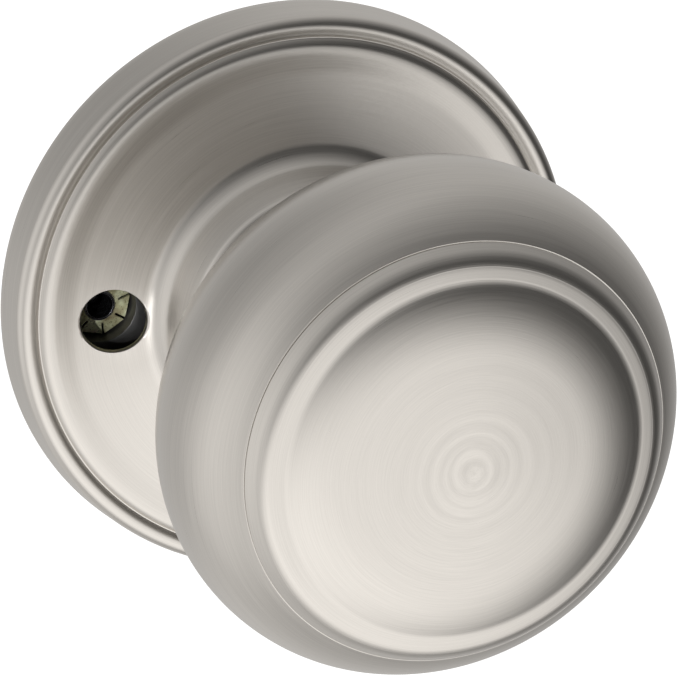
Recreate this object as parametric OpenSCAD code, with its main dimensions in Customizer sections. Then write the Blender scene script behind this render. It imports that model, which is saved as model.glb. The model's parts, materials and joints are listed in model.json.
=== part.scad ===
// Outside half of a privacy door knob set: knob, rose, spring return and emergency release.
// The door face is the plane Y = 0, the knob stands out along -Y and the spindle runs into the door along +Y.
// Inside each module the part is drawn with +Z pointing out of the door, and on_door() turns it into place.

/* [Knob] */
// Largest diameter of the knob
knob_d = 54.4; // [54:0.1:55]
// Height of the widest ring of the knob above the door face
bulge_height = 41; // [40.5:0.1:42]
// Radius of the round section of the knob's body
bulge_r = 13; // [13:0.1:13.2]
// Height of the middle of the domed face above the door face
knob_height = 55.5; // [55.2:0.1:56]
// Diameter of the neck that enters the rose
neck_d = 23.2; // [23:0.1:23.4]
// Thickness of the pressed sheet metal
sheet = 0.8; // [0.7:0.05:0.9]

/* [Rose] */
// Outer diameter of the rose
rose_d = 66.6; // [66.4:0.1:68]
// Height of the rose's hub above the door face
hub_height = 12.4; // [12.2:0.1:12.6]
// Diameter of the emergency release hole
release_hole_d = 7.2; // [7:0.1:7.4]
// Distance of the release hole from the knob's axis
release_at = 22.3; // [22.1:0.1:22.3]

/* [Chassis] */
// Thickness of the mounting plate
plate_t = 1.5; // [1.2:0.1:1.5]
// Diameter of the boss that centres the plate in the door's cross bore
boss_d = 52.8; // [52.6:0.1:53]
// Distance between the two threaded posts
post_pitch = 41; // [40.8:0.1:41.4]
// Length of the posts behind the door face
post_len = 22; // [18:1:30]
// Wall radius of the threaded bore in each post
post_bore_r = 2.1; // [1.6:0.1:2.2]

/* [Drive] */
// Outer diameter of the shank tube
shank_d = 12.7; // [12.5:0.1:12.8]
// Width of the square spindle across its flats
spindle_w = 6.35; // [6:0.05:6.35]
// How far the spindle reaches behind the door face
spindle_reach = 58; // [40:1:75]
// Wire diameter of the torsion return spring
return_wire_d = 1.4; // [1:0.1:1.4]

/* [Release] */
// Diameter of the release plunger
plunger_d = 3.6; // [3.4:0.1:3.8]
// Outer diameter of the star retainer
star_d = 7.6; // [7.2:0.1:7.6]
// Wire diameter of the plunger's spring
plunger_wire_d = 0.5; // [0.4:0.1:0.6]

/* [Hidden] */

facets = 96;
arc_steps = 10;
cut = 0.5;
fit = 0.03;
running = 0.06;
pin_fit = 0.02;

// Knob outline
bulge_c = [knob_d / 2 - bulge_r, bulge_height];
neck_r = neck_d / 2;
neck_fillet_c = [bulge_c[0], bulge_c[1] - bulge_r - (bulge_c[0] - neck_r)];
neck_fillet_r = bulge_c[0] - neck_r;
neck_bottom = 9.95;
crease_a = 52.6;
seat_r = 21.2;
seat_depth = 1.5;
dome_r = 140;
dome_knee = 12;
dome_edge = 18.2;
dome_edge_tilt = 22;
dome_knee_tilt = asin(dome_knee / dome_r);
dome_roll_r = (dome_edge - dome_knee) / (sin(dome_edge_tilt) - sin(dome_knee_tilt));
dome_c = [0, knob_height - dome_r];
dome_roll_c = dome_c + (dome_r - dome_roll_r) * [sin(dome_knee_tilt), cos(dome_knee_tilt)];
dip_r = 3;
land_tilt = 9;
land_w = 0.96;
flank_tilt = 54;
flank_r = 2.58;
flank_w = 0.84;
edge_tuck = 0.1;

// Rose outline
rose_r = rose_d / 2;
skirt_foot = 0.6;
skirt_taper = 9.7;
rim_r = 1.4;
rim_c = [rose_r - 2, 4];
rim_end_a = 133;
shoulder_r = 1.85;
shoulder_tilt = 44;
brim_r = 5.5;
brim_tilt = [1, 10];
brim_at = rose_r - 4.9;
dish_r = 12.6;
dish_at = [rose_r - 7.2, 5.7];
plate_arc_r = 63;
plate_tilt = 6;
plate_arc_c = dish_at + plate_arc_r * [sin(plate_tilt), cos(plate_tilt)];
cove_r = 3.4;
hub_taper = 25;
hub_side = [cos(hub_taper), sin(hub_taper)];
hub_round_r = 1.2;
lip_r = 13;
hub_round_c = [lip_r + hub_round_r, hub_height - hub_round_r];
lip_bottom = 9.1;
hub_reach = (plate_arc_c - hub_round_c) * hub_side - hub_round_r - cove_r;
plate_end_tilt = asin(hub_reach / (plate_arc_r - cove_r)) - hub_taper;
cove_c = plate_arc_c - (plate_arc_r - cove_r) * [sin(plate_end_tilt), cos(plate_end_tilt)];
release_hole_at = 22.2;
release_hole_height = 6.3;
release_hole_tilt = 9.5;

// Chassis
plate_r = 31.2;
plate_back = 0.2;
recess_r = 25;
tab_r = rose_r - sheet - 0.22;
tab_w = 7;
tab_count = 4;
boss_r = boss_d / 2;
boss_wall = 1;
boss_depth = 3.5;
boss_gap_w = 11;
post_r = 3.5;
post_neck_r = 2.6;
post_head_r = 4;
post_head_t = 1;
post_bore_depth = 17;
sleeve_r = 9.4;
sleeve_top = 8.3;
sleeve_flange_r = 13;
sleeve_flange_t = 1.2;
sleeve_peen_r = 10.6;
sleeve_peen_t = 1;
washer_r = 10.4;

// Spring cage and drive
cage_r = 16.6;
cage_wall = 0.8;
cage_floor = -9.2;
cage_hole_r = 9.4;
cage_stop_r = 14.7;
ear_at = 18.6;
ear_r = 2.8;
ear_t = 1;
rivet_r = 1.5;
rivet_head_r = 1.9;
rivet_head_t = 0.8;
shank_r = shank_d / 2;
shank_bore_r = 4.6;
shank_top = 33;
shank_end = -18;
shank_groove = [-12.1, -11];
shank_groove_r = 5.5;
driver_r = 9;
driver_top = -1.2;
driver_end = -9.9;
driver_disc = [-8.8, -8];
driver_disc_r = 14.5;
finger_r = [13.5, 14.4];
finger_half_a = 8;
lug_r = 15.3;
lug_half_a = 10;
lug_stop_a = 82;
lug_stop_half_a = 4;
return_coil_r = 12.5;
return_coil_s = [-7, -2];
return_leg_a = 12.5;
return_leg_r = 15.4;
cross_pin_r = 1.2;
cross_pin_at = -5;
neck_pin_r = 1.5;
neck_pin_at = 20;

// Release mechanism
guide_bore_r = star_d / 2 + 0.1;
guide_r = guide_bore_r + 0.35;
guide_flange_r = 6;
guide_flange_t = 0.3;
guide_floor = -9;
guide_floor_t = 0.8;
plunger_r = plunger_d / 2;
plunger_top = 1;
plunger_end = -16;
star_inner = 0.65;
star_rim = -0.1;
star_t = 0.35;
star_points = 8;
star_turn = 11;
clip_s = [-10.9, -10.2];
clip_groove_r = 1.4;
clip_r = 3.4;
release_coil_r = 2.85;

// Colours
nickel = [0.74, 0.72, 0.69];
steel = [0.62, 0.63, 0.65];
zinc = [0.55, 0.56, 0.58];
chromate = [0.72, 0.68, 0.42];
black = [0.08, 0.08, 0.09];
nylon = [0.90, 0.89, 0.84];

// ---- Helpers ----

// Points along an arc in the radius-height plane
function arc(c, r, a0, a1, n = arc_steps) = [for (i = [0:n]) let (a = a0 + (a1 - a0) * i / n) c + r * [cos(a), sin(a)]];

// An arc that runs outward from p while its fall changes from t0 to t1 degrees; a negative r makes it hollow
function sweep(p, t0, t1, r, n) = [for (i = [1:n])
    let (t = t0 + (t1 - t0) * i / n) p + r * [sin(t) - sin(t0), cos(t) - cos(t0)]];

function reversed(p) = [for (i = [len(p) - 1:-1:0]) p[i]];

function unit(v) = v / norm(v);

// Right-hand normal of the step from a to b
function side(a, b) = let (d = unit(b - a)) [d[1], -d[0]];

// A path moved sideways by d, with each corner mitred
function beside(p, d) = [for (i = [0:len(p) - 1])
    let (
        before = side(p[max(i - 1, 0)], p[max(i, 1)]),
        after = side(p[min(i, len(p) - 2)], p[min(i + 1, len(p) - 1)]),
        m = unit(before + after)
    ) p[i] + m * d / (m * before)];

module on_door() {
    rotate([90, 0, 0]) children();
}

module turned(points) {
    rotate_extrude($fn = facets) polygon(points);
}

// A round washer, sleeve or disc between two heights
module ring(outer_r, inner_r, bottom, top) {
    difference() {
        translate([0, 0, bottom]) cylinder(r = outer_r, h = top - bottom, $fn = facets);
        translate([0, 0, bottom - cut]) cylinder(r = inner_r, h = top - bottom + 2 * cut, $fn = facets);
    }
}

module disc(r, bottom, top, fn = 48) {
    translate([0, 0, bottom]) cylinder(r = r, h = top - bottom, $fn = fn);
}

// A block bounded by two radii, two heights and an angle either side of its middle
module sector(inner_r, outer_r, bottom, top, middle_a, half_a) {
    rotate([0, 0, middle_a - half_a])
        translate([0, 0, bottom])
            rotate_extrude(angle = 2 * half_a, $fn = facets)
                translate([inner_r, 0]) square([outer_r - inner_r, top - bottom]);
}

// A rod lying across the axis
module cross_rod(r, half_len, height, turn = 0) {
    rotate([0, 0, turn])
        translate([-half_len, 0, height])
            rotate([0, 90, 0]) cylinder(r = r, h = 2 * half_len, $fn = 32);
}

// A slotted spring pin lying across the axis
module roll_pin(r, half_len, height, turn = 0) {
    rotate([0, 0, turn]) difference() {
        cross_rod(r, half_len, height);
        cross_rod(r * 0.55, half_len + cut, height);
        translate([-half_len - cut, -r * 0.15, height]) cube([2 * half_len + 2 * cut, r * 0.3, r + cut]);
    }
}

// A helical coil of round wire
module coil(mean_r, wire_r, bottom, top, first_a, turns, steps, sides) {
    points = [for (i = [0:steps], k = [0:sides - 1])
        let (
            a = first_a + 360 * turns * i / steps,
            b = 360 * k / sides,
            r = mean_r + wire_r * cos(b)
        ) [r * cos(a), r * sin(a), bottom + (top - bottom) * i / steps + wire_r * sin(b)]];
    skin = [for (i = [0:steps - 1], k = [0:sides - 1])
        let (n = (k + 1) % sides)
            [i * sides + k, i * sides + n, (i + 1) * sides + n, (i + 1) * sides + k]];
    first_cap = [for (k = [sides - 1:-1:0]) k];
    last_cap = [for (k = [0:sides - 1]) steps * sides + k];
    polyhedron(points, concat([first_cap], skin, [last_cap]), convexity = 10);
}

// ---- Knob ----

// The domed part of the face at a depth below its skin, from its middle to its edge
function dome_path(depth) = concat(
    [[0, knob_height - depth]],
    [for (i = [1:6])
        dome_c + (dome_r - depth) * [sin(dome_knee_tilt * i / 6), cos(dome_knee_tilt * i / 6)]],
    [for (i = [1:arc_steps])
        let (t = dome_knee_tilt + (dome_edge_tilt - dome_knee_tilt) * i / arc_steps)
            dome_roll_c + (dome_roll_r - depth) * [sin(t), cos(t)]]
);

// The ring round the dome at a depth below its skin: hollow dip, sloping land, round and flank
function rim_path(depth) =
    let (
        dip_c = dome_roll_c + (dome_roll_r + dip_r) * [sin(dome_edge_tilt), cos(dome_edge_tilt)],
        land_start = dip_c - dip_r * [sin(land_tilt), cos(land_tilt)],
        land_end = land_start + land_w * [cos(land_tilt), -sin(land_tilt)],
        flank_c = land_end - flank_r * [sin(land_tilt), cos(land_tilt)],
        flank_start = flank_c + (flank_r - depth) * [sin(flank_tilt), cos(flank_tilt)]
    ) concat(
        [for (i = [1:5])
            let (t = dome_edge_tilt + (land_tilt - dome_edge_tilt) * i / 5)
                dip_c - (dip_r + depth) * [sin(t), cos(t)]],
        [for (i = [0:7])
            let (t = land_tilt + (flank_tilt - land_tilt) * i / 7)
                flank_c + (flank_r - depth) * [sin(t), cos(t)]],
        [flank_start + flank_w * [cos(flank_tilt), -sin(flank_tilt)]]
    );

module knob_face() {
    seat_s = bulge_c[1] + bulge_r * sin(crease_a) + fit;
    skin = concat(dome_path(0), rim_path(0));
    lining = concat(dome_path(sheet), [for (p = rim_path(sheet)) if (p[0] < seat_r - sheet - 0.2) p]);
    color(nickel) on_door() turned(concat(
        skin,
        [
            [skin[len(skin) - 1][0] - edge_tuck, seat_s],
            [seat_r - fit, seat_s],
            [seat_r - fit, seat_s - seat_depth],
            [seat_r - fit - sheet, seat_s - seat_depth]
        ],
        reversed(lining)
    ));
}

module knob_shell() {
    lining_r = bulge_r - sheet;
    color(nickel) on_door() turned(concat(
        [[neck_r, neck_bottom]],
        arc(neck_fillet_c, neck_fillet_r, 180, 90, 8),
        arc(bulge_c, bulge_r, -88, crease_a, 30),
        [[seat_r, bulge_c[1] + bulge_r * sin(crease_a)]],
        arc(bulge_c, lining_r, acos((seat_r - bulge_c[0]) / lining_r), -88, 24),
        arc(neck_fillet_c, neck_fillet_r + sheet, 90, 180, 8),
        [[neck_r - sheet, neck_bottom]]
    ));
}

module knob_core() {
    floor_s = neck_fillet_c[1] + neck_fillet_r + sheet + 0.15;
    sleeve_top_s = 34;
    web_t = 2.2;
    web_r = 15.2;
    rib_count = 6;
    rib_t = 1.6;
    color(zinc) on_door() difference() {
        union() {
            turned(concat(
                [[shank_r + fit, neck_bottom], [neck_r - sheet - fit, neck_bottom]],
                arc(neck_fillet_c, neck_fillet_r + sheet + fit, 180, 90, 8),
                [
                    [web_r, floor_s],
                    [web_r, floor_s + web_t],
                    [9.5, floor_s + web_t],
                    [9.5, sleeve_top_s],
                    [shank_r + fit, sleeve_top_s]
                ]
            ));
            for (i = [0:rib_count - 1])
                rotate([0, 0, 360 * i / rib_count])
                    translate([9, rib_t / 2, floor_s + web_t - 0.2])
                        rotate([90, 0, 0]) linear_extrude(rib_t) polygon([[0, 0], [web_r - 9.6, 0], [0, 2.6]]);
        }
        cross_rod(neck_pin_r + pin_fit, neck_r, neck_pin_at);
    }
}

module knob_shank() {
    color(steel) on_door() difference() {
        turned([
            [shank_bore_r, shank_end],
            [shank_r - 0.6, shank_end],
            [shank_r, shank_end + 0.6],
            [shank_r, shank_groove[0]],
            [shank_groove_r, shank_groove[0]],
            [shank_groove_r, shank_groove[1]],
            [shank_r, shank_groove[1]],
            [shank_r, shank_top],
            [shank_bore_r, shank_top]
        ]);
        cross_rod(neck_pin_r + pin_fit, shank_r + cut, neck_pin_at);
        cross_rod(cross_pin_r + pin_fit, shank_r + cut, cross_pin_at, 90);
    }
}

module knob_pin() {
    color(steel) on_door() roll_pin(neck_pin_r, neck_r - sheet - 0.4, neck_pin_at);
}

module thrust_washer() {
    color(nylon) on_door() ring(washer_r, shank_r + running, neck_bottom - 0.65, neck_bottom - 0.02);
}

module spring_driver() {
    color(zinc) on_door() difference() {
        union() {
            disc(driver_r, driver_end, driver_top, facets);
            disc(driver_disc_r, driver_disc[0], driver_disc[1], facets);
            sector(finger_r[0], finger_r[1], driver_disc[1] - 0.2, driver_top, 0, finger_half_a);
            sector(finger_r[0], lug_r, driver_disc[0], driver_disc[1], 180, lug_half_a);
        }
        disc(shank_r + fit, driver_end - cut, driver_top + cut, facets);
        cross_rod(cross_pin_r + pin_fit, driver_r + cut, cross_pin_at, 90);
        for (a = [60, 120, 240, 300])
            rotate([0, 0, a]) translate([11.6, 0, 0]) disc(1.5, driver_disc[0] - cut, driver_disc[1] + cut, 24);
    }
}

module rear_washer() {
    color(steel) on_door() ring(10.6, shank_r + running, -10.95, -10.15);
}

module retaining_ring() {
    bottom = shank_groove[0] + 0.1;
    top = shank_groove[1] - 0.1;
    lug_a = 42;
    lug_at = 7.3;
    gap_w = 6;
    color(steel) on_door() difference() {
        union() {
            disc(7.8, bottom, top, facets);
            for (a = [-1, 1]) rotate([0, 0, 270 + a * lug_a]) translate([lug_at, 0, 0]) disc(1.6, bottom, top, 32);
        }
        disc(shank_groove_r + fit, bottom - cut, top + cut, facets);
        translate([-gap_w / 2, -12, bottom - cut]) cube([gap_w, 12, top - bottom + 2 * cut]);
        for (a = [-1, 1])
            rotate([0, 0, 270 + a * lug_a]) translate([lug_at, 0, 0]) disc(0.65, bottom - cut, top + cut, 24);
    }
}

module spindle() {
    top = 8;
    tip = 1.2;
    color(steel) on_door() difference() {
        intersection() {
            translate([-spindle_w / 2, -spindle_w / 2, -spindle_reach])
                cube([spindle_w, spindle_w, spindle_reach + top]);
            turned([
                [0, -spindle_reach],
                [spindle_w * 0.71 - tip, -spindle_reach],
                [spindle_w * 0.71, tip - spindle_reach],
                [spindle_w * 0.71, top],
                [0, top]
            ]);
        }
        cross_rod(cross_pin_r + pin_fit, spindle_w, cross_pin_at, 90);
    }
}

module spindle_pin() {
    color(steel) on_door() roll_pin(cross_pin_r, driver_r - 0.3, cross_pin_at, 90);
}

// ---- Rose and chassis ----

// Outside of the rose, from the door face up over the rim and the hub to the end of its turned-in lip
function rose_path() =
    let (
        dish = sweep(dish_at, plate_tilt, brim_tilt[0], -dish_r, 4),
        dish_end = dish[len(dish) - 1],
        brim_start = [brim_at, dish_end[1] - (brim_at - dish_end[0]) * tan(brim_tilt[0])],
        brim = sweep(brim_start, brim_tilt[0], brim_tilt[1], brim_r, 4),
        shoulder = sweep(brim[len(brim) - 1], brim_tilt[1], shoulder_tilt, shoulder_r, 6)
    ) concat(
        [[rose_r, 0], [rose_r, skirt_foot]],
        arc(rim_c, rim_r, skirt_taper, rim_end_a, 10),
        reversed(concat([dish_at], dish, [brim_start], brim, shoulder)),
        [for (i = [1:arc_steps])
            let (t = plate_tilt + (plate_end_tilt - plate_tilt) * i / arc_steps)
                plate_arc_c - plate_arc_r * [sin(t), cos(t)]],
        [for (i = [1:8])
            let (t = plate_end_tilt + (90 - hub_taper - plate_end_tilt) * i / 8)
                cove_c - cove_r * [sin(t), cos(t)]],
        arc(hub_round_c, hub_round_r, hub_taper, 180, 12),
        [[lip_r, lip_bottom]]
    );

module rose() {
    color(nickel) on_door() difference() {
        turned(concat(rose_path(), reversed(beside(rose_path(), -sheet))));
        translate([-release_hole_at, 0, release_hole_height])
            rotate([0, -release_hole_tilt, 0]) disc(release_hole_d / 2, -4, 4, 64);
    }
}

module rose_bush() {
    flange = [hub_height + 0.02, hub_height + 0.7];
    color(nylon) on_door() difference() {
        union() {
            disc(lip_r - fit, lip_bottom, flange[1], facets);
            disc(lip_r + 1.5, flange[0], flange[1], facets);
        }
        disc(neck_r + running, lip_bottom - cut, flange[1] + cut, facets);
    }
}

module mounting_plate() {
    color(chromate) on_door() difference() {
        union() {
            disc(plate_r, 0, plate_t, facets);
            for (i = [0:tab_count - 1]) rotate([0, 0, 45 + 360 * i / tab_count]) intersection() {
                disc(tab_r, 0, plate_t, facets);
                translate([plate_r - 2, -tab_w / 2, 0]) cube([6, tab_w, plate_t]);
            }
            difference() {
                ring(boss_r, boss_r - boss_wall, -boss_depth, plate_t / 2);
                translate([-boss_r - cut, -boss_gap_w / 2, -boss_depth - cut])
                    cube([boss_gap_w, boss_gap_w, boss_depth + cut]);
            }
        }
        disc(recess_r, -cut, plate_back, facets);
        disc(sleeve_r + fit, -cut, plate_t + cut, facets);
        for (s = [-1, 1]) translate([0, s * post_pitch / 2, 0]) disc(post_neck_r + fit, -cut, plate_t + cut);
        for (a = [45:90:315]) rotate([0, 0, a]) translate([ear_at, 0, 0]) disc(rivet_r + fit, -cut, plate_t + cut);
        translate([-release_at, 0, 0]) disc(guide_r + fit, -cut, plate_t + cut, facets);
    }
}

module mounting_posts() {
    color(steel) on_door() for (s = [-1, 1]) translate([0, s * post_pitch / 2, 0]) difference() {
        union() {
            disc(post_r, -post_len, plate_back);
            disc(post_neck_r, -cut, plate_t + cut);
            disc(post_head_r, plate_t, plate_t + post_head_t);
        }
        disc(post_bore_r, -post_len - cut, post_bore_depth - post_len, 64);
    }
}

module bearing_sleeve() {
    color(zinc) on_door() difference() {
        union() {
            disc(sleeve_r, -sleeve_peen_t, sleeve_top, facets);
            disc(sleeve_flange_r, plate_t, plate_t + sleeve_flange_t, facets);
            disc(sleeve_peen_r, -sleeve_peen_t, plate_back, facets);
        }
        disc(shank_r + running, -sleeve_peen_t - cut, sleeve_top + cut, facets);
    }
}

module wave_washer() {
    inner_r = shank_r + 0.5;
    outer_r = washer_r - 0.6;
    t = 0.3;
    middle_s = sleeve_top + 0.5;
    wave = 0.28;
    waves = 3;
    steps = 60;
    corners = [[inner_r, -t / 2], [outer_r, -t / 2], [outer_r, t / 2], [inner_r, t / 2]];
    points = [for (i = [0:steps - 1], c = corners)
        let (a = 360 * i / steps) [c[0] * cos(a), c[0] * sin(a), middle_s + c[1] + wave * cos(waves * a)]];
    skin = [for (i = [0:steps - 1], k = [0:3])
        let (j = (i + 1) % steps, n = (k + 1) % 4) [i * 4 + k, i * 4 + n, j * 4 + n, j * 4 + k]];
    color(steel) on_door() polyhedron(points, skin, convexity = 6);
}

module spring_cage() {
    inner_r = cage_r - cage_wall;
    color(chromate) on_door() union() {
        ring(cage_r, inner_r, cage_floor, plate_back);
        ring(cage_r, cage_hole_r, cage_floor - cage_wall, cage_floor + 0.01);
        sector(cage_stop_r, inner_r + 0.3, cage_floor - 0.2, -1, 0, finger_half_a);
        for (s = [-1, 1])
            sector(lug_r - 0.5, inner_r + 0.3, cage_floor - 0.2, -6, 180 + s * lug_stop_a, lug_stop_half_a);
        for (a = [45:90:315]) difference() {
            rotate([0, 0, a]) translate([ear_at, 0, 0]) disc(ear_r, plate_back - ear_t, plate_back);
            rotate([0, 0, a]) translate([ear_at, 0, 0]) disc(rivet_r + fit, -ear_t - cut, cut);
            disc(inner_r + 0.2, -ear_t - cut, cut, facets);
        }
    }
}

module cage_rivets() {
    color(steel) on_door() for (a = [45:90:315]) rotate([0, 0, a]) translate([ear_at, 0, 0]) {
        disc(rivet_r, plate_back - ear_t - rivet_head_t, plate_t + rivet_head_t);
        disc(rivet_head_r, plate_t, plate_t + rivet_head_t);
        disc(rivet_head_r, plate_back - ear_t - rivet_head_t, plate_back - ear_t);
    }
}

module return_spring() {
    wire_r = return_wire_d / 2;
    turns = 3 - 2 * return_leg_a / 360;
    color(steel) on_door() union() {
        coil(return_coil_r, wire_r, return_coil_s[0], return_coil_s[1], return_leg_a, turns, 90, 8);
        for (leg = [[return_leg_a, return_coil_s[0]], [-return_leg_a, return_coil_s[1]]])
            rotate([0, 0, leg[0]])
                translate([return_coil_r - wire_r / 2, 0, leg[1]])
                    rotate([0, 90, 0]) cylinder(r = wire_r * 0.96, h = return_leg_r - return_coil_r, $fn = 16);
    }
}

// ---- Emergency release ----

module at_release() {
    on_door() translate([-release_at, 0, 0]) children();
}

module release_guide() {
    color(black) at_release() difference() {
        union() {
            disc(guide_r, guide_floor - guide_floor_t, plate_t + guide_flange_t, facets);
            disc(guide_flange_r, plate_t, plate_t + guide_flange_t, facets);
        }
        disc(guide_bore_r, guide_floor, plate_t + guide_flange_t + cut, facets);
        disc(plunger_r + running, guide_floor - guide_floor_t - cut, guide_floor + cut);
    }
}

module release_spring() {
    wire_r = plunger_wire_d / 2;
    color(steel) at_release()
        coil(release_coil_r, wire_r, guide_floor + wire_r + 0.05, star_rim - star_t - wire_r - 0.35, 0, 6.5, 117, 6);
}

module release_plunger() {
    throat = plunger_r - 0.42;
    color(black) at_release() turned([
        [0, plunger_end],
        [plunger_r - 0.5, plunger_end],
        [plunger_r, plunger_end + 0.5],
        [plunger_r, clip_s[0] - 0.05],
        [clip_groove_r, clip_s[0] - 0.05],
        [clip_groove_r, clip_s[1] + 0.05],
        [plunger_r, clip_s[1] + 0.05],
        [plunger_r, plunger_top - 0.2],
        [plunger_r - 0.2, plunger_top],
        [throat + 0.05, plunger_top],
        [throat - 0.1, plunger_top - 0.5],
        [throat + 0.05, plunger_top - 0.7],
        [throat - 0.25, plunger_top - 1.2],
        [throat - 0.1, plunger_top - 1.4],
        [throat - 0.4, plunger_top - 2],
        [throat - 0.4, plunger_top - 3.7],
        [0, plunger_top - 4.2]
    ]);
}

module star_retainer() {
    slot_w = 0.28;
    slot_from = plunger_r + 0.45;
    color(chromate) at_release() difference() {
        intersection() {
            turned([
                [plunger_r + pin_fit, star_inner],
                [plunger_r + pin_fit, star_inner - star_t],
                [star_d / 2, star_rim - star_t],
                [star_d / 2, star_rim]
            ]);
            rotate([0, 0, star_turn]) disc(star_d / 2, star_rim - star_t - cut, plunger_top, star_points);
        }
        for (i = [0:star_points - 1])
            rotate([0, 0, star_turn + 360 * i / star_points])
                translate([slot_from, -slot_w / 2, star_rim - star_t - cut]) cube([star_d, slot_w, star_inner + star_t + cut]);
    }
}

module release_clip() {
    color(steel) at_release() difference() {
        disc(clip_r, clip_s[0], clip_s[1]);
        disc(clip_groove_r + pin_fit, clip_s[0] - cut, clip_s[1] + cut, 32);
        translate([0, -clip_groove_r * 0.8, clip_s[0] - cut])
            cube([clip_r + 1, clip_groove_r * 1.6, clip_s[1] - clip_s[0] + 2 * cut]);
        for (a = [100, 260])
            rotate([0, 0, a]) translate([clip_groove_r + 0.9, 0, 0]) disc(0.55, clip_s[0] - cut, clip_s[1] + cut, 24);
    }
}

// ---- Assembly ----

knob_face();
knob_shell();
knob_core();
knob_shank();
knob_pin();
thrust_washer();
spring_driver();
rear_washer();
retaining_ring();
spindle();
spindle_pin();
rose();
rose_bush();
mounting_plate();
mounting_posts();
bearing_sleeve();
wave_washer();
spring_cage();
cage_rivets();
return_spring();
release_guide();
release_spring();
release_plunger();
star_retainer();
release_clip();
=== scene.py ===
import json
import math

import bmesh
import bpy
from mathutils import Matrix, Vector


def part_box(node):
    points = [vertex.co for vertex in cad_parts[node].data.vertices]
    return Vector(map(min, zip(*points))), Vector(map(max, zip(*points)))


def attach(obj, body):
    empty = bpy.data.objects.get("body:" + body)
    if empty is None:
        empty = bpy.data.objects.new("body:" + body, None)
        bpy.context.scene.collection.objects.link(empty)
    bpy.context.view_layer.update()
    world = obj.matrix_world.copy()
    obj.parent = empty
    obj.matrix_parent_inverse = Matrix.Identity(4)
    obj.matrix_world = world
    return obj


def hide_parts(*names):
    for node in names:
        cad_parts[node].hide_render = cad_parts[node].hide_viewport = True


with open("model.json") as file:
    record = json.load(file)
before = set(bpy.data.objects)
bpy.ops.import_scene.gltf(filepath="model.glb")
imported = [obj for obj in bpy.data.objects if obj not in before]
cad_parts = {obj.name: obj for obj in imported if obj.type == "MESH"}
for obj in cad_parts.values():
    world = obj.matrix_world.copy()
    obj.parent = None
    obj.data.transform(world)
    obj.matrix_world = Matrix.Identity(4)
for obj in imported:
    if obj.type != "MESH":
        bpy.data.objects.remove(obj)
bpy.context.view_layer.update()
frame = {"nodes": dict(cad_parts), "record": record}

MM = 0.001

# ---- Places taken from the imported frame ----

ROSE_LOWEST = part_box("rose")[0].z
plunger_low, plunger_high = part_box("release_plunger")
RELEASE = Vector(((plunger_low.x + plunger_high.x) / 2, 0, (plunger_low.z + plunger_high.z) / 2))


# ---- Outlines and turned shapes ----

CURVE_STEPS = 4
CORNER_ANGLE = 24.0
SEGMENTS = 288
ROSE_SEGMENTS = 360
HOLE_SEGMENTS = 128
FLOOR_SEGMENTS = 64
SHARP_ANGLE = 28.0


def outline(node, keep=lambda x, z: True):
    """The (radius, height off the door) points that a turned CAD node was made from, and whether they close.

    Only the vertices that keep(x, z) accepts are read, so a hole on one side can be left out.
    """
    mesh = frame["nodes"][node].data
    keys = []
    for v in mesh.vertices:
        x, z = v.co.x, v.co.z
        keys.append((round(math.hypot(x, z), 6), round(-v.co.y, 6)) if keep(x, z) else None)
    beside = {}
    for e in mesh.edges:
        a, b = keys[e.vertices[0]], keys[e.vertices[1]]
        if a is None or b is None or a == b:
            continue
        beside.setdefault(a, set()).add(b)
        beside.setdefault(b, set()).add(a)
    ends = [k for k in beside if k[0] == 0]
    start = max(ends, key=lambda k: k[1]) if ends else max(beside)
    line, last = [start], None
    while True:
        ahead = [k for k in beside[line[-1]] if k != last and k not in line[1:]]
        ahead = [k for k in ahead if k != start or len(line) > 2]
        if not ahead or ahead == [start]:
            break
        last = line[-1]
        line.append(min(k for k in ahead if k != start))
    return line, not ends


def bend(a, b, c):
    """The angle, in degrees, that a line turns by at b."""
    u, v = Vector(b) - Vector(a), Vector(c) - Vector(b)
    return math.degrees(u.angle(v)) if u.length > 0 and v.length > 0 else 0.0


def smoothed(line, closed):
    """The line with extra points on its curved stretches. Corners sharper than CORNER_ANGLE stay sharp."""
    count = len(line)
    out = []

    def at(i):
        return line[i % count] if closed else line[max(0, min(count - 1, i))]

    def slope(i, away):
        """Half the step across point i, or the one-sided step where point i is a corner."""
        before, here, after = Vector(at(i - 1)), Vector(at(i)), Vector(at(i + 1))
        if bend(before, here, after) > CORNER_ANGLE or (not closed and i in (0, count - 1)):
            return (after - here) if away else (here - before)
        return (after - before) / 2

    for i in range(count if closed else count - 1):
        p, q = Vector(at(i)), Vector(at(i + 1))
        length = (q - p).length
        m0, m1 = slope(i, True), slope(i + 1, False)
        m0 = m0.normalized() * length if m0.length else m0
        m1 = m1.normalized() * length if m1.length else m1
        for k in range(CURVE_STEPS):
            t = k / CURVE_STEPS
            out.append(
                p * (2 * t**3 - 3 * t**2 + 1) + m0 * (t**3 - 2 * t**2 + t)
                + q * (3 * t**2 - 2 * t**3) + m1 * (t**3 - t**2)
            )
    if not closed:
        out.append(Vector(line[-1]))
    widest, highest, lowest = max(r for r, z in line), max(z for r, z in line), min(z for r, z in line)
    return [(min(max(r, 0.0), widest), min(max(z, lowest), highest)) for r, z in out]


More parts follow.
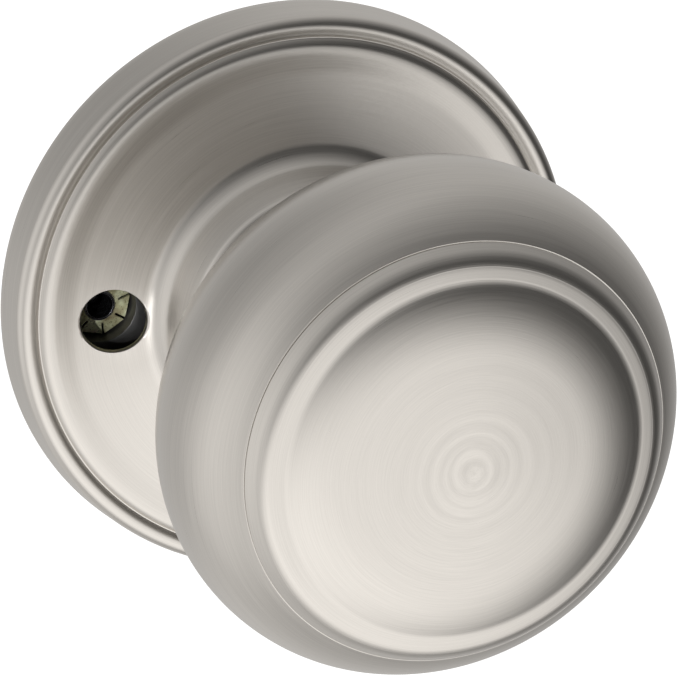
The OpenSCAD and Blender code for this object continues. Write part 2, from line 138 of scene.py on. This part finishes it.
def turned(name, line, closed, segments=SEGMENTS):
    """A mesh made by turning a line of (radius, height) points about the knob's axis."""
    bm = bmesh.new()
    turn = [2 * math.pi * k / segments for k in range(segments)]
    rings = []
    for r, s in line:
        if r < 1e-7:
            rings.append([bm.verts.new((0.0, -s, 0.0))])
        else:
            rings.append([bm.verts.new((r * math.cos(a), -s, r * math.sin(a))) for a in turn])
    pairs = list(zip(rings, rings[1:])) + ([(rings[-1], rings[0])] if closed else [])
    for a, b in pairs:
        for k in range(segments):
            n = (k + 1) % segments
            corners = [a[k % len(a)], a[n % len(a)], b[n % len(b)], b[k % len(b)]]
            corners = [c for i, c in enumerate(corners) if c not in corners[:i]]
            if len(corners) > 2:
                bm.faces.new(corners)
    bmesh.ops.recalc_face_normals(bm, faces=bm.faces)
    mesh = bpy.data.meshes.new(name)
    bm.to_mesh(mesh)
    bm.free()
    return added(name, mesh)


def added(name, mesh):
    piece = bpy.data.objects.new(name, mesh)
    bpy.context.scene.collection.objects.link(piece)
    return piece


def apply_modifiers(piece):
    """Makes the piece's modifiers part of its mesh."""
    graph = bpy.context.evaluated_depsgraph_get()
    mesh = bpy.data.meshes.new_from_object(piece.evaluated_get(graph))
    piece.modifiers.clear()
    old = piece.data
    piece.data = mesh
    mesh.name = piece.name
    bpy.data.meshes.remove(old)


def shade(piece, angle=SHARP_ANGLE):
    """Smooth shading, with edges sharper than angle degrees left crisp."""
    piece.data.shade_smooth()
    piece.data.set_sharp_from_angle(angle=math.radians(angle))


EDGE_WIDTH = 0.12 * MM
EDGE_ANGLE = math.radians(35)


def softened(node):
    """A copy of a CAD node's mesh with its sharp edges rounded, as on a pressed, cast or turned part."""
    piece = added(node + "_part", frame["nodes"][node].data.copy())
    bm = bmesh.new()
    bm.from_mesh(piece.data)
    bmesh.ops.remove_doubles(bm, verts=bm.verts, dist=1e-6)
    bmesh.ops.dissolve_limit(bm, angle_limit=math.radians(0.5), verts=bm.verts, edges=bm.edges)
    bm.to_mesh(piece.data)
    bm.free()
    bevel = piece.modifiers.new("edges", "BEVEL")
    bevel.width = EDGE_WIDTH
    bevel.segments = 2
    bevel.limit_method = "ANGLE"
    bevel.angle_limit = EDGE_ANGLE
    bevel.use_clamp_overlap = True
    apply_modifiers(piece)
    shade(piece)
    return piece


# ---- Material helpers ----

def new_material(name):
    """A new node material, with its tree and its shader."""
    material = bpy.data.materials.new(name)
    material.use_nodes = True
    tree = material.node_tree
    shader = tree.nodes["Principled BSDF"]
    return material, tree, shader


def maths(tree, operation, a, b=None):
    node = tree.nodes.new("ShaderNodeMath")
    node.operation = operation
    for socket, value in zip(node.inputs, (a, b)):
        if value is None:
            continue
        if isinstance(value, (int, float)):
            socket.default_value = value
        else:
            tree.links.new(value, socket)
    return node.outputs[0]


def spread(tree, value, low, high, to_low, to_high):
    """Maps value from the range low to high onto the range to_low to to_high."""
    node = tree.nodes.new("ShaderNodeMapRange")
    tree.links.new(value, node.inputs["Value"])
    node.inputs["From Min"].default_value = low
    node.inputs["From Max"].default_value = high
    node.inputs["To Min"].default_value = to_low
    node.inputs["To Max"].default_value = to_high
    return node.outputs[0]


def polar(tree, at=(0.0, 0.0)):
    """Radius, height, and the cosine and sine of the angle about the axis through at."""
    place = tree.nodes.new("ShaderNodeTexCoord")
    split = tree.nodes.new("ShaderNodeSeparateXYZ")
    tree.links.new(place.outputs["Object"], split.inputs[0])
    x = maths(tree, "SUBTRACT", split.outputs["X"], at[0])
    z = maths(tree, "SUBTRACT", split.outputs["Z"], at[1])
    squares = maths(tree, "ADD", maths(tree, "MULTIPLY", x, x), maths(tree, "MULTIPLY", z, z))
    radius = maths(tree, "MAXIMUM", maths(tree, "SQRT", squares), 1e-5)
    return radius, split.outputs["Y"], maths(tree, "DIVIDE", x, radius), maths(tree, "DIVIDE", z, radius)


NOISE_ROUGHNESS = 0.6
NOISE_RANGE = (0.3, 0.7)


def brushing(tree, place, pitch, spread_out, detail=3.0):
    """Noise drawn out round the axis. Strokes are pitch wide, and a larger spread_out makes them shorter."""
    radius, height, cosine, sine = place
    join = tree.nodes.new("ShaderNodeCombineXYZ")
    tree.links.new(maths(tree, "DIVIDE", radius, pitch), join.inputs["X"])
    tree.links.new(maths(tree, "DIVIDE", height, pitch), join.inputs["Y"])
    tree.links.new(maths(tree, "MULTIPLY", cosine, spread_out), join.inputs["Z"])
    noise = tree.nodes.new("ShaderNodeTexNoise")
    noise.noise_dimensions = "4D"
    tree.links.new(join.outputs[0], noise.inputs["Vector"])
    tree.links.new(maths(tree, "MULTIPLY", sine, spread_out), noise.inputs["W"])
    noise.inputs["Scale"].default_value = 1.0
    noise.inputs["Detail"].default_value = detail
    noise.inputs["Roughness"].default_value = NOISE_ROUGHNESS
    return noise.outputs["Fac"]


def grain(tree, scale, detail=4.0):
    """Noise that is the same in every direction, in the piece's own space."""
    place = tree.nodes.new("ShaderNodeTexCoord")
    noise = tree.nodes.new("ShaderNodeTexNoise")
    tree.links.new(place.outputs["Object"], noise.inputs["Vector"])
    noise.inputs["Scale"].default_value = scale
    noise.inputs["Detail"].default_value = detail
    noise.inputs["Roughness"].default_value = NOISE_ROUGHNESS
    return noise.outputs["Fac"]


def ramp(tree, value, stops):
    node = tree.nodes.new("ShaderNodeValToRGB")
    tree.links.new(value, node.inputs["Fac"])
    elements = node.color_ramp.elements
    while len(elements) < len(stops):
        elements.new(0.5)
    for element, (position, colour) in zip(elements, stops):
        element.position = position
        element.color = (*colour, 1)
    return node.outputs["Color"]


def bump(tree, shader, height, depth, strength=1.0):
    node = tree.nodes.new("ShaderNodeBump")
    node.inputs["Strength"].default_value = strength
    node.inputs["Distance"].default_value = depth
    tree.links.new(height, node.inputs["Height"])
    tree.links.new(node.outputs["Normal"], shader.inputs["Normal"])


def tinted(colour, factor):
    return tuple(c * factor for c in colour)


# ---- Materials ----

NICKEL = (0.640, 0.615, 0.580)
STEEL = (0.560, 0.565, 0.580)
SPRING_STEEL = (0.300, 0.300, 0.310)
CAST_ZINC = (0.400, 0.405, 0.420)


def satin_nickel(name, turning_marks=False):
    """Satin nickel plate brushed round the axis in strokes of two widths.

    turning_marks adds the wider rings that turning leaves round the middle of a face.
    """
    material, tree, shader = new_material(name)
    place = polar(tree)
    fine = brushing(tree, place, pitch=0.10 * MM, spread_out=2.2)
    broad = brushing(tree, place, pitch=0.9 * MM, spread_out=1.1, detail=2.0)
    height = maths(tree, "ADD", maths(tree, "MULTIPLY", fine, 0.8), maths(tree, "MULTIPLY", broad, 0.2))
    tone = height
    if turning_marks:
        rings = brushing(tree, place, pitch=0.75 * MM, spread_out=0.35, detail=1.0)
        inner = spread(tree, place[0], 2 * MM, 9 * MM, 1.0, 0.0)
        rings = maths(tree, "MULTIPLY", maths(tree, "SUBTRACT", rings, 0.5), inner)
        tone = maths(tree, "ADD", tone, maths(tree, "MULTIPLY", rings, 0.9))
    colour = ramp(tree, tone, [(0.30, tinted(NICKEL, 0.91)), (0.70, tinted(NICKEL, 1.09))])
    tree.links.new(colour, shader.inputs["Base Color"])
    tree.links.new(spread(tree, height, *NOISE_RANGE, 0.27, 0.38), shader.inputs["Roughness"])
    shader.inputs["Metallic"].default_value = 1.0
    shader.inputs["Anisotropic"].default_value = 0.6
    tangent = tree.nodes.new("ShaderNodeTangent")
    tangent.direction_type = "RADIAL"
    tangent.axis = "Y"
    tree.links.new(tangent.outputs[0], shader.inputs["Tangent"])
    bump(tree, shader, tone, 0.012 * MM, 0.55)
    return material


def plated_steel(name, colour):
    """Turned or drawn steel under thin clear plating."""
    material, tree, shader = new_material(name)
    marks = brushing(tree, polar(tree), pitch=0.15 * MM, spread_out=3.0)
    patches = grain(tree, 260)
    tone = maths(tree, "ADD", maths(tree, "MULTIPLY", marks, 0.6), maths(tree, "MULTIPLY", patches, 0.4))
    stops = [(0.3, tinted(colour, 0.82)), (0.7, tinted(colour, 1.1))]
    tree.links.new(ramp(tree, tone, stops), shader.inputs["Base Color"])
    tree.links.new(spread(tree, tone, *NOISE_RANGE, 0.26, 0.46), shader.inputs["Roughness"])
    shader.inputs["Metallic"].default_value = 1.0
    bump(tree, shader, marks, 0.01 * MM, 0.5)
    return material


def chromate(name, stops, scale, metallic=0.95):
    """Zinc plate with an iridescent chromate film that drifts between the hues in stops."""
    material, tree, shader = new_material(name)
    film = grain(tree, scale, detail=3.0)
    scratches = grain(tree, scale * 9, detail=2.0)
    tree.links.new(ramp(tree, film, stops), shader.inputs["Base Color"])
    tree.links.new(spread(tree, scratches, *NOISE_RANGE, 0.22, 0.42), shader.inputs["Roughness"])
    shader.inputs["Metallic"].default_value = metallic
    bump(tree, shader, scratches, 0.01 * MM, 0.2)
    return material


def cast_zinc(name):
    """Bare die-cast zinc with a fine sandy skin."""
    material, tree, shader = new_material(name)
    skin = grain(tree, 2600, detail=5.0)
    patches = grain(tree, 190)
    tone = maths(tree, "ADD", maths(tree, "MULTIPLY", skin, 0.5), maths(tree, "MULTIPLY", patches, 0.5))
    stops = [(0.3, tinted(CAST_ZINC, 0.75)), (0.7, tinted(CAST_ZINC, 1.15))]
    tree.links.new(ramp(tree, tone, stops), shader.inputs["Base Color"])
    tree.links.new(spread(tree, tone, *NOISE_RANGE, 0.42, 0.62), shader.inputs["Roughness"])
    shader.inputs["Metallic"].default_value = 1.0
    bump(tree, shader, skin, 0.03 * MM, 0.6)
    return material


# Radii round the pin's axis where its colour is lightened, a painted highlight on the rim of the release pin.
PIN_HIGHLIGHT_RADII = (1.52 * MM, 1.72 * MM)


def black_oxide(name):
    """Blackened steel with a painted highlight: its colour is lightened in a ring towards the rim of the
    release pin.
    """
    material, tree, shader = new_material(name)
    place = polar(tree, (RELEASE.x, RELEASE.z))
    marks = brushing(tree, place, pitch=0.12 * MM, spread_out=2.0)
    # Painted highlight: the base colour is lightened between these radii, standing in for the glint on the
    # pin's rim.
    painted_highlight = spread(tree, place[0], *PIN_HIGHLIGHT_RADII, 0.0, 0.5)
    tone = maths(tree, "ADD", maths(tree, "MULTIPLY", marks, 0.5), painted_highlight)
    # The lightest stop is the colour of the painted highlight on the pin's rim.
    stops = [(0.2, (0.012, 0.012, 0.014)), (0.5, (0.10, 0.10, 0.11)), (0.9, (0.62, 0.61, 0.60))]
    tree.links.new(ramp(tree, tone, stops), shader.inputs["Base Color"])
    tree.links.new(spread(tree, marks, *NOISE_RANGE, 0.20, 0.36), shader.inputs["Roughness"])
    shader.inputs["Metallic"].default_value = 0.9
    bump(tree, shader, marks, 0.01 * MM, 0.5)
    return material


SKIN_SCALE = 1800
SKIN_VARIES = 0.06


def plastic(name, dark, light, roughness):
    """Moulded plastic with a faint spark-eroded skin."""
    material, tree, shader = new_material(name)
    skin = grain(tree, SKIN_SCALE)
    patches = grain(tree, 120)
    tree.links.new(ramp(tree, patches, [(0.3, dark), (0.7, light)]), shader.inputs["Base Color"])
    gloss = spread(tree, skin, *NOISE_RANGE, roughness - SKIN_VARIES, roughness + SKIN_VARIES)
    tree.links.new(gloss, shader.inputs["Roughness"])
    bump(tree, shader, skin, 0.02 * MM, 0.5)
    return material


YELLOW_ZINC = [
    (0.30, (0.50, 0.42, 0.20)),
    (0.48, (0.60, 0.55, 0.30)),
    (0.60, (0.52, 0.56, 0.36)),
    (0.72, (0.58, 0.44, 0.34)),
]
GREEN_ZINC = [
    (0.34, (0.26, 0.22, 0.13)),
    (0.47, (0.46, 0.45, 0.27)),
    (0.58, (0.80, 0.83, 0.58)),
    (0.72, (0.56, 0.48, 0.40)),
]

MATERIALS = {
    "satin_nickel": satin_nickel("satin_nickel"),
    "satin_nickel_face": satin_nickel("satin_nickel_face", turning_marks=True),
    "plated_steel": plated_steel("plated_steel", STEEL),
    "spring_steel": plated_steel("spring_steel", SPRING_STEEL),
    "cast_zinc": cast_zinc("cast_zinc"),
    "yellow_zinc": chromate("yellow_zinc", YELLOW_ZINC, 60),
    "yellow_zinc_bright": chromate("yellow_zinc_bright", GREEN_ZINC, 330, 0.5),
    "black_oxide": black_oxide("black_oxide"),
    "black_acetal": plastic("black_acetal", (0.010, 0.010, 0.010), (0.018, 0.017, 0.016), 0.42),
    "nylon": plastic("nylon", (0.72, 0.71, 0.65), (0.80, 0.79, 0.73), 0.46),
}

NODE_SLOT = {s["node"]: s["material_slot"] for s in frame["record"]["subparts"]}
NODE_BODY = {n: b for b, ns in frame["record"]["behaviour"]["bodies"].items() for n in ns}


def placed(piece, node, look=None):
    """The piece rides, and takes its slot, as the CAD node that it stands for."""
    material = MATERIALS[look or NODE_SLOT[node]]
    piece.data.materials.clear()
    piece.data.materials.append(material)
    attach(piece, NODE_BODY[node])
    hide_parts(node)
    return piece


# ---- The knob ----

def make_turned_piece(node, look=None):
    """The node's own outline, smoothed and turned in more steps than its CAD mesh has."""
    line, closed = outline(node)
    piece = turned(node + "_part", smoothed(line, closed), closed)
    shade(piece)
    return placed(piece, node, look)


make_turned_piece("knob_face", "satin_nickel_face")
make_turned_piece("knob_shell")


# ---- The rose, with its release hole. Lengths in this section are in millimetres until they are placed ----

HOLE_R = 3.6
HOLE_ROLL = 0.5
HOLE_ROLL_TOP = 0.12
HOLE_ROLL_ANGLES = range(180, 109, -10)
HOLE_REACH = 3.0
HOLE_SHIFT = 0.1
HOLE_HEIGHT = 6.3
HOLE_TILT = math.radians(9.5)
ROSE_SHARP_ANGLE = 40


def make_hole_cutter():
    """A plug as wide as the release hole that flares at its top, square to the rose's sloping dish."""
    roll = []
    for degrees in HOLE_ROLL_ANGLES:
        a = math.radians(degrees)
        roll.append((HOLE_R + HOLE_ROLL * (1 + math.cos(a)), HOLE_ROLL_TOP + HOLE_ROLL * (math.sin(a) - 1)))
    line = [(0.0, -HOLE_REACH), (HOLE_R, -HOLE_REACH)] + roll + [(roll[-1][0], HOLE_REACH), (0.0, HOLE_REACH)]
    cutter = turned("hole_cutter", [(r * MM, s * MM) for r, s in line], False, HOLE_SEGMENTS)
    cutter.rotation_euler = (0, 0, -HOLE_TILT)
    cutter.location = (RELEASE.x + HOLE_SHIFT * MM, -HOLE_HEIGHT * MM, RELEASE.z)
    return cutter


def make_rose():
    """The pressed cover. Its release hole has the rolled-over edge that punching leaves."""
    line, closed = outline("rose", keep=lambda x, z: x > 0)
    piece = turned("rose_part", smoothed(line, closed), closed, ROSE_SEGMENTS)
    cutter = make_hole_cutter()
    cut = piece.modifiers.new("hole", "BOOLEAN")
    cut.operation = "DIFFERENCE"
    cut.solver = "EXACT"
    cut.object = cutter
    bpy.context.view_layer.update()
    apply_modifiers(piece)
    bpy.data.objects.remove(cutter)
    shade(piece, ROSE_SHARP_ANGLE)
    return placed(piece, "rose")


make_rose()


# ---- Every other CAD node keeps its shape, with its edges softened ----

DONE = {"knob_face", "knob_shell", "rose"}
for node in sorted(frame["nodes"]):
    if node not in DONE:
        placed(softened(node), node)


# ---- Camera ----

VIEW_AZIMUTH = math.radians(-20.67)
VIEW_ELEVATION = math.radians(20.36)
VIEW_ROLL = math.radians(2.13)
VIEW_DISTANCE = 0.2984
VIEW_TARGET = Vector((-2.92, -25.0, 3.01)) * MM
LENS = 150.55
SENSOR = 36


def make_camera():
    """A camera at the angle that the object is seen from, aimed at its middle and rolled a little."""
    data = bpy.data.cameras.new("camera")
    data.lens = LENS
    data.sensor_width = SENSOR
    data.sensor_fit = "HORIZONTAL"
    data.clip_start = 0.01
    data.clip_end = 50
    camera = bpy.data.objects.new("camera", data)
    back = Vector((
        math.sin(VIEW_AZIMUTH) * math.cos(VIEW_ELEVATION),
        -math.cos(VIEW_AZIMUTH) * math.cos(VIEW_ELEVATION),
        math.sin(VIEW_ELEVATION),
    ))
    camera.location = VIEW_TARGET + back * VIEW_DISTANCE
    turn = (-back).to_track_quat("-Z", "Y").to_matrix().to_4x4()
    right, up = turn.col[0].to_3d(), turn.col[1].to_3d()
    rolled_right = right * math.cos(VIEW_ROLL) + up * math.sin(VIEW_ROLL)
    rolled_up = up * math.cos(VIEW_ROLL) - right * math.sin(VIEW_ROLL)
    for column, axis in enumerate((rolled_right, rolled_up, back)):
        for row in range(3):
            turn[row][column] = axis[row]
    camera.rotation_euler = turn.to_euler()
    bpy.context.scene.collection.objects.link(camera)
    bpy.context.scene.camera = camera


make_camera()


# ---- Studio ----

FLOOR_DROP = 60 * MM
FLOOR_FLAT_R = 2.0
FLOOR_SWEEP_R = 1.5
FLOOR_WALL_TOP = 6.0
FLOOR_DOME = 0.5
FLOOR_SWEEP_STEPS = 12


def make_floor():
    """A pale floor that sweeps up into a wall all round. Only the camera sees it, so it casts no light."""
    line = [(0.0, 0.0), (FLOOR_FLAT_R, 0.0)]
    for k in range(1, FLOOR_SWEEP_STEPS + 1):
        a = math.radians(90 * k / FLOOR_SWEEP_STEPS)
        line.append((FLOOR_FLAT_R + FLOOR_SWEEP_R * math.sin(a), FLOOR_SWEEP_R * (1 - math.cos(a))))
    line.append((FLOOR_FLAT_R + FLOOR_SWEEP_R, FLOOR_WALL_TOP))
    line.append((0.0, FLOOR_WALL_TOP + FLOOR_DOME))
    floor = turned("floor", line, False, FLOOR_SEGMENTS)
    floor.rotation_euler = (math.radians(-90), 0, 0)
    floor.location = (0, 0, ROSE_LOWEST - FLOOR_DROP)
    floor.data.shade_smooth()
    material, tree, shader = new_material("floor_paint")
    shader.inputs["Base Color"].default_value = (0.9, 0.9, 0.9, 1)
    shader.inputs["Roughness"].default_value = 0.9
    shader.inputs["Specular IOR Level"].default_value = 0.0
    shader.inputs["Emission Color"].default_value = (1, 1, 1, 1)
    shader.inputs["Emission Strength"].default_value = 0.85
    floor.data.materials.append(material)
    floor.visible_glossy = False
    floor.visible_diffuse = False
    floor.visible_shadow = False


def make_room():
    """A soft room: a white card low in front, a glow from the ground and the left, and grey walls behind.

    The walls fade out towards the front right, and their upper left corner is darker.
    """
    world = bpy.data.worlds.new("room")
    bpy.context.scene.world = world
    world.use_nodes = True
    tree = world.node_tree
    place = tree.nodes.new("ShaderNodeTexCoord")

    def towards(direction, low, high, to_low, to_high):
        """Light that goes from to_low to to_high as a ray's cosine with direction goes from low to high."""
        dot = tree.nodes.new("ShaderNodeVectorMath")
        dot.operation = "DOT_PRODUCT"
        tree.links.new(place.outputs["Generated"], dot.inputs[0])
        dot.inputs[1].default_value = Vector(direction).normalized()
        return spread(tree, dot.outputs["Value"], low, high, to_low, to_high)

    walls = towards((-0.45, 0.80, 0.25), -0.60, 0.35, 0.07, 0.60)
    card = towards((0.08, -0.84, -0.54), 0.62, 0.93, 0.0, 1.22)
    ground = towards((0, 0, -1), 0.5, 1.0, 0.0, 0.2)
    left = towards((-0.85, -0.45, -0.30), 0.55, 1.0, 0.0, 0.5)
    corner = towards((-0.50, 0.60, 0.60), 0.70, 1.0, 0.0, -0.22)
    upright = maths(tree, "ADD", maths(tree, "ADD", walls, card), corner)
    total = maths(tree, "ADD", upright, maths(tree, "ADD", ground, left))
    tree.links.new(total, tree.nodes["Background"].inputs["Strength"])
    tree.nodes["Background"].inputs["Color"].default_value = (1.0, 0.985, 0.965, 1)


HOLE_LIGHT_TOWARDS = Vector((-0.50, -0.85, 0.15)).normalized()
HOLE_LIGHT_DISTANCE = 0.3


def make_hole_light():
    """A narrow soft light from left of the camera that looks into the release hole."""
    data = bpy.data.lights.new("hole_light", "SPOT")
    data.energy = 7.0
    data.spot_size = math.radians(1.15)
    data.spot_blend = 0.4
    data.shadow_soft_size = 0.003
    light = bpy.data.objects.new("hole_light", data)
    hole = RELEASE + Vector((HOLE_SHIFT, -HOLE_HEIGHT, 0)) * MM
    light.location = hole + HOLE_LIGHT_TOWARDS * HOLE_LIGHT_DISTANCE
    light.rotation_euler = HOLE_LIGHT_TOWARDS.to_track_quat("Z", "Y").to_euler()
    bpy.context.scene.collection.objects.link(light)


make_floor()
make_room()
make_hole_light()

scene = bpy.context.scene
scene.view_settings.view_transform = "Standard"
scene.view_settings.look = "None"
